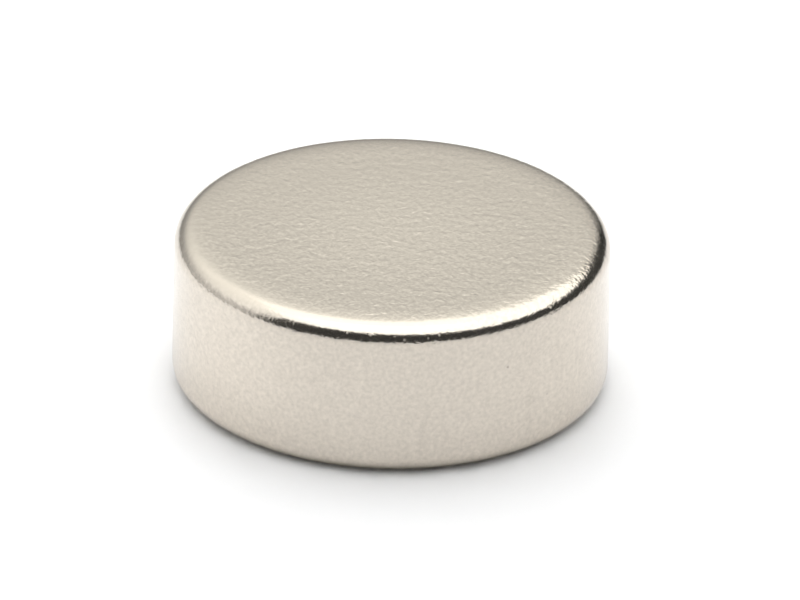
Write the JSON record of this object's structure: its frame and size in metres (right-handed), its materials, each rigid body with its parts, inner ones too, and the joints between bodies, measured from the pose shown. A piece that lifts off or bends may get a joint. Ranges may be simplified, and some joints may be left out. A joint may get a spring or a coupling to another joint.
{
  "type": "disc magnet",
  "caption": "Small round disc magnet with bright nickel plating, flat faces and tumbled edges, standing on one face.",
  "frame": {"origin": "centre of the lower flat face, on the disc's axis", "axes": "+Z along the disc's axis, from the lower face to the upper face; +X and +Y are any two directions across the disc, because it is round"},
  "size_m": [0.008, 0.008, 0.003],
  "materials": {
    "nickel_plating": "bright nickel plating, warm silver, with a fine orange-peel grain on the two faces and a smoother side wall"
  },
  "bodies": {
    "root": {"disc_magnet": "nickel_plating"}
  },
  "joints": []
}
